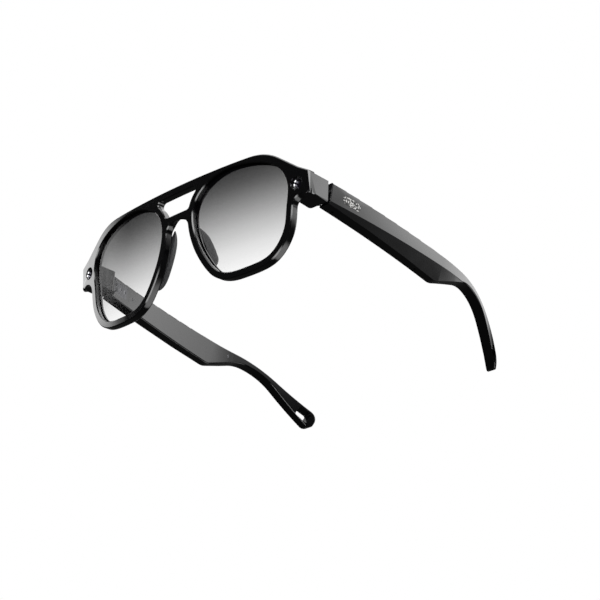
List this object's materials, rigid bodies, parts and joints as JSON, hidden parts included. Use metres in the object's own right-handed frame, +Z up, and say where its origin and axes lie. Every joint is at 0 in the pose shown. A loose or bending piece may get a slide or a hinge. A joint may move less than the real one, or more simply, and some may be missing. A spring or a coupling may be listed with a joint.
{
  "type": "smart glasses",
  "caption": "Smart glasses with a double-bridge wrapped front, tinted lenses, a round camera port and status light, and folding temples that hold the electronics.",
  "frame": {"origin": "middle of the footprint box, on the surface that the rims and temple tips rest on", "axes": "+X to the wearer's left, the front faces -Y, the temples run back along +Y, +Z up"},
  "size_m": [0.1524, 0.1598, 0.0546],
  "materials": {
    "frame_gloss": "polished black moulding",
    "lens_tint": "hard-coated polycarbonate, dark grey at the top and paler at the bottom",
    "pad": "satin dark grey",
    "steel": "satin",
    "bezel": "dark, gloss",
    "port_glass": "dark coated window",
    "module": "black, matt",
    "emblem": "dark satin inlay",
    "mesh": "black-coated steel",
    "contact": "gold-coloured plating",
    "board": "solder mask",
    "flex": "amber film",
    "cell": "foil pouch",
    "rubber_gloss": "black key"
  },
  "bodies": {
    "front": {"front_frame": "frame_gloss", "brow_cover": "frame_gloss", "brow_flex": "flex", "front_leaf_screws": "steel", "lens_left": "lens_tint", "lens_right": "lens_tint", "nose_pad_left": "pad", "nose_pad_right": "pad", "endpiece_cover_left": "frame_gloss", "endpiece_cover_right": "frame_gloss", "hinge_front_leaf_left": "steel", "hinge_front_leaf_right": "steel", "hinge_pin_left": "steel", "hinge_pin_right": "steel", "indicator_bezel": "bezel", "indicator_window": "port_glass", "indicator_module": "module", "camera_bezel": "bezel", "camera_window": "port_glass", "camera_module": "module"},
    "temple_left": {"temple_shell_left": "frame_gloss", "inner_cover_left": "frame_gloss", "core_wire_left": "steel", "emblem_left": "emblem", "speaker_left": "module", "speaker_mesh_left": "mesh", "microphones_left": "module", "temple_flex_left": "flex", "leaf_screws_left": "steel", "cover_screws_left": "steel", "hinge_temple_leaf_left": "steel", "main_board": "board", "switch_body": "module", "charging_contacts": "contact"},
    "power_switch": {"power_switch": "rubber_gloss"},
    "temple_right": {"temple_shell_right": "frame_gloss", "inner_cover_right": "frame_gloss", "core_wire_right": "steel", "emblem_right": "emblem", "speaker_right": "module", "speaker_mesh_right": "mesh", "microphones_right": "module", "temple_flex_right": "flex", "leaf_screws_right": "steel", "cover_screws_right": "steel", "hinge_temple_leaf_right": "steel", "battery": "cell", "button_dome": "steel", "touch_pad": "flex"},
    "capture_button": {"capture_button": "rubber_gloss"}
  },
  "joints": [
    {"name": "temple_left_fold", "type": "hinge", "parent": "front", "child": "temple_left", "pos_m": [0.06515, -0.05763, 0.03435], "axis": [0, -0.0834, 0.9965], "range_deg": [0, 90]},
    {"name": "temple_right_fold", "type": "hinge", "parent": "front", "child": "temple_right", "pos_m": [-0.06515, -0.05763, 0.03435], "axis": [0, 0.0834, -0.9965], "range_deg": [0, 80]},
    {"name": "power_switch_slide", "type": "slide", "parent": "temple_left", "child": "power_switch", "axis": [0.0833, 0.9907, -0.1078], "range_m": [0, 0.002]},
    {"name": "capture_button_press", "type": "slide", "parent": "temple_right", "child": "capture_button", "axis": [0, -0.1082, -0.9941], "range_m": [0, 0.0003], "stiffness_N_per_m": 800, "springref_m": -0.0002}
  ]
}
